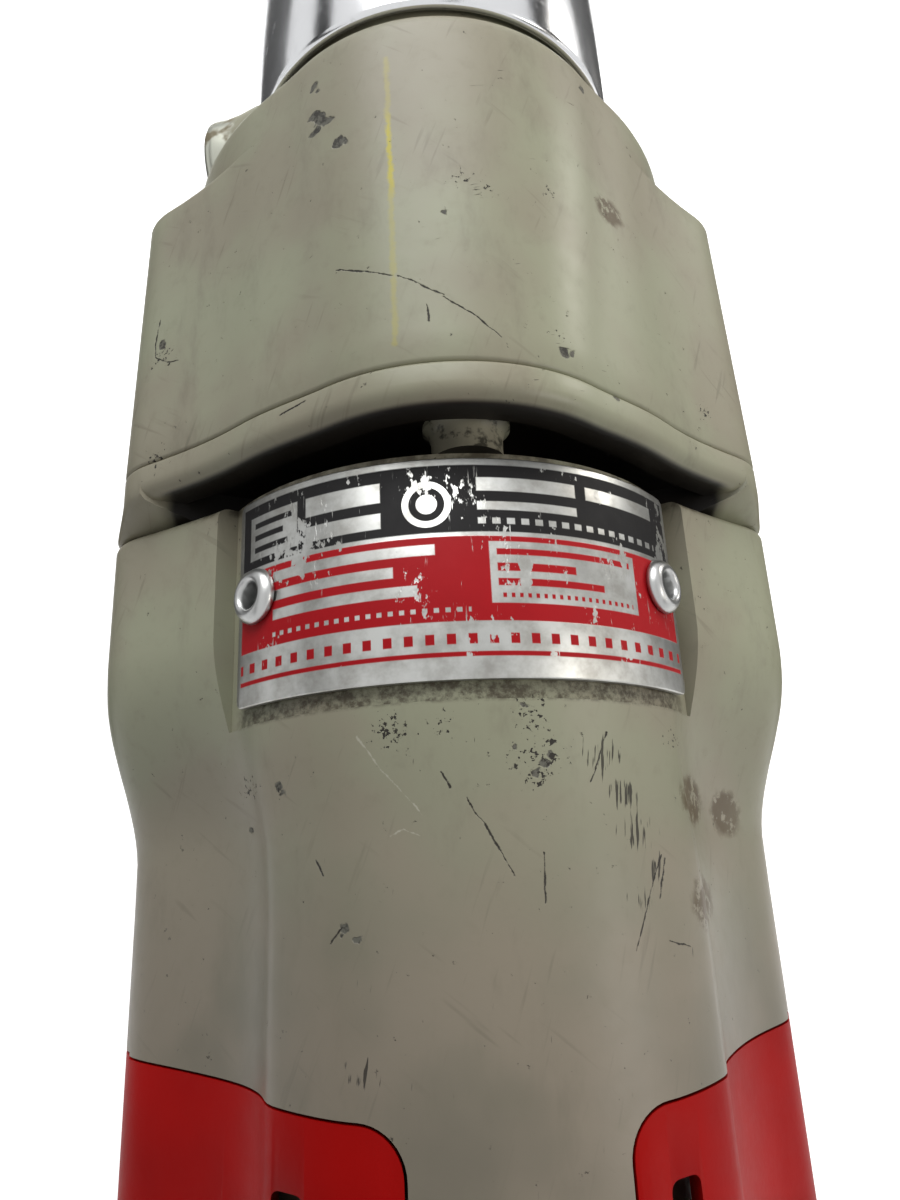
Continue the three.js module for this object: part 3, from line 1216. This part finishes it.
function lockButton() {
  const inner = -handle.gripHalf + gap;
  return turned([
    [0, inner + lock.flangeThick], [lock.flange, inner + lock.flangeThick], [lock.flange, inner],
      [lock.radius, inner],
    [lock.radius, -handle.half - lock.proud + gap], [lock.radius - 2 * gap, -handle.half - lock.proud],
    [0, -handle.half - lock.proud],
  ], coarse).rotate([0, 0, -90]).translate([0, lock.y, lock.z]);
}

function switchSolid() {
  const shape = roundedOutline([[switchBody.front, switchBody.top, gap], [switchBody.front,
    switchBody.bottom, switchBody.edge],
    [switchBody.rear, switchBody.bottom, switchBody.edge], [switchBody.rear, switchBody.top,
      switchBody.edge]]);
  return alongX(shape, -switchBody.half, switchBody.half, 2);
}

place(drill, 'gear_case', gearCaseSolid(), paint);
place(drill, 'diaphragm', diaphragmSolid(), paint);
place(drill, 'motor_housing', motorHousing(), paint);
place(drill, 'nameplate', nameplate(), plateMetal);
place(drill, 'nameplate_rivet_left', rivetSolid(-1), steel);
place(drill, 'nameplate_rivet_right', rivetSolid(1), steel);
screwPlaces.forEach(([x, z], i) => {
  place(drill, `case_screw_${i + 1}`, caseScrew(), darkSteel).position.set(x, 0, z);
});

place(drill, 'armature_shaft', armatureShaft(), steel);
place(drill, 'armature_core', armatureCore(), darkSteel);
place(drill, 'commutator', commutator(), copper);
place(drill, 'fan', fan(), black);
place(drill, 'armature_bearing_front', bearing(bearingArmature, bearingFrontAt), steel);
place(drill, 'armature_bearing_rear', bearing(bearingArmature, bearingRearAt), steel);
place(drill, 'field_core', fieldCore(), darkSteel);
for (const [side, name] of [[-1, 'left'], [1, 'right']]) {
  place(drill, `field_coil_${name}`, fieldCoil(side), copper);
  place(drill, `brush_holder_${name}`, brushHolder(side), brass);
  place(drill, `brush_${name}`, carbonBrush(side), carbon);
}

function placeAt(centre, name, solid, material) {
  place(drill, name, solid, material).position.set(centre.x, 0, centre.y);
}

const bushSolid = () => tube(idler.bush, idler.bushOuter, gearCase.cavityEnd,
  gearCase.cavityEnd + idler.bushLength, small);
placeAt(firstShaft, 'first_gear', wheel(stages[0], gapAngle(firstShaft, motorCentre, stages[0].driven),
  idler.bush), steel);
placeAt(firstShaft, 'first_shaft', idlerShaft(stages[1], angleTo(firstShaft, secondShaft)), steel);
placeAt(firstShaft, 'first_shaft_bush', bushSolid(), brass);
placeAt(secondShaft, 'second_gear', wheel(stages[1], gapAngle(secondShaft, firstShaft, stages[1].driven),
  idler.bush), steel);
placeAt(secondShaft, 'second_shaft', idlerShaft(stages[2], angleTo(secondShaft, spindleCentre)), steel);
placeAt(secondShaft, 'second_shaft_bush', bushSolid(), brass);
const spindleBore = spindle.radius + gap;
placeAt(spindleCentre, 'spindle_gear', wheel(stages[2], gapAngle(spindleCentre, secondShaft,
  stages[2].driven), spindleBore), steel);
placeAt(spindleCentre, 'drill_spindle', drillSpindle(), steel);
placeAt(spindleCentre, 'spindle_bearing', bearing(bearingSpindle, spindleCase.from + gap), steel);
placeAt(spindleCentre, 'spindle_bush', tube(spindleBush.bore, spindleBush.outer,
  diaphragm.spindleBossEnd - spindleBush.length, diaphragm.spindleBossEnd, coarse), brass);

const clamp = new THREE.Group();
clamp.position.set(0, sleeveAt, spindleRise);
drill.add(clamp);
place(clamp, 'clamp_sleeve', clampSleeve(), chrome);
sleeveScrewAt.forEach((y, i) => {
  place(clamp, `clamp_screw_${i + 1}`, clampScrew(), darkSteel).position.set(0, y, -sleeve.screwOffset);
});

const angleHead = new THREE.Group();
angleHead.position.set(0, head.apexY, spindleRise);
drill.add(angleHead);
place(angleHead, 'head_housing', headHousing(), headMetal);
place(angleHead, 'head_cap', headCap(), headMetal);
place(angleHead, 'bevel_pinion', bevelPinion(), steel);
place(angleHead, 'pinion_bearing', bearing(bearingPinion, pinionSeat), steel);
place(angleHead, 'pinion_bush', tube(pinionBush.bore, pinionBush.outer, neckFrom + gap,
  neckFrom + head.neckSeat, coarse), brass);
place(angleHead, 'bevel_gear', outputGear(), steel);
place(angleHead, 'output_spindle', outputSpindle(), steel);
place(angleHead, 'output_bearing_upper', bearing(bearingUpper, upperSeat).rotate([90, 0, 0]), steel);
place(angleHead, 'output_bearing_lower', bearing(bearingLower, lowerSeat + gap).rotate([90, 0, 0]), steel);

const keyedChuck = new THREE.Group();
keyedChuck.position.set(0, 0, -noseDepth);
angleHead.add(keyedChuck);
place(keyedChuck, 'chuck_body', chuckBody(), darkSteel);
place(keyedChuck, 'chuck_sleeve', chuckSleeve(), darkSteel);
for (let i = 0; i < 3; i += 1) {
  place(keyedChuck, `chuck_jaw_${i + 1}`, chuckJaw(), darkSteel).rotation.z = 120 * i * degree;
}

place(drill, 'handle_left', handleHalf(-1), redPlastic);
place(drill, 'handle_right', handleHalf(1), redPlastic);
handleScrewPlaces.forEach(([y, z], i) => {
  place(drill, `handle_screw_${i + 1}`, handleScrewSolid(), darkSteel).position.set(0, y, z);
});
place(drill, 'switch_body', switchSolid(), black);
place(drill, 'trigger', triggerSolid(), black);
place(drill, 'reversing_lever', leverSolid(), black);
place(drill, 'lock_button', lockButton(), black);

const front = head.apexY + head.tower;
drill.position.set(0, -(front + inletRear) / 2, -floor);

export default drill;
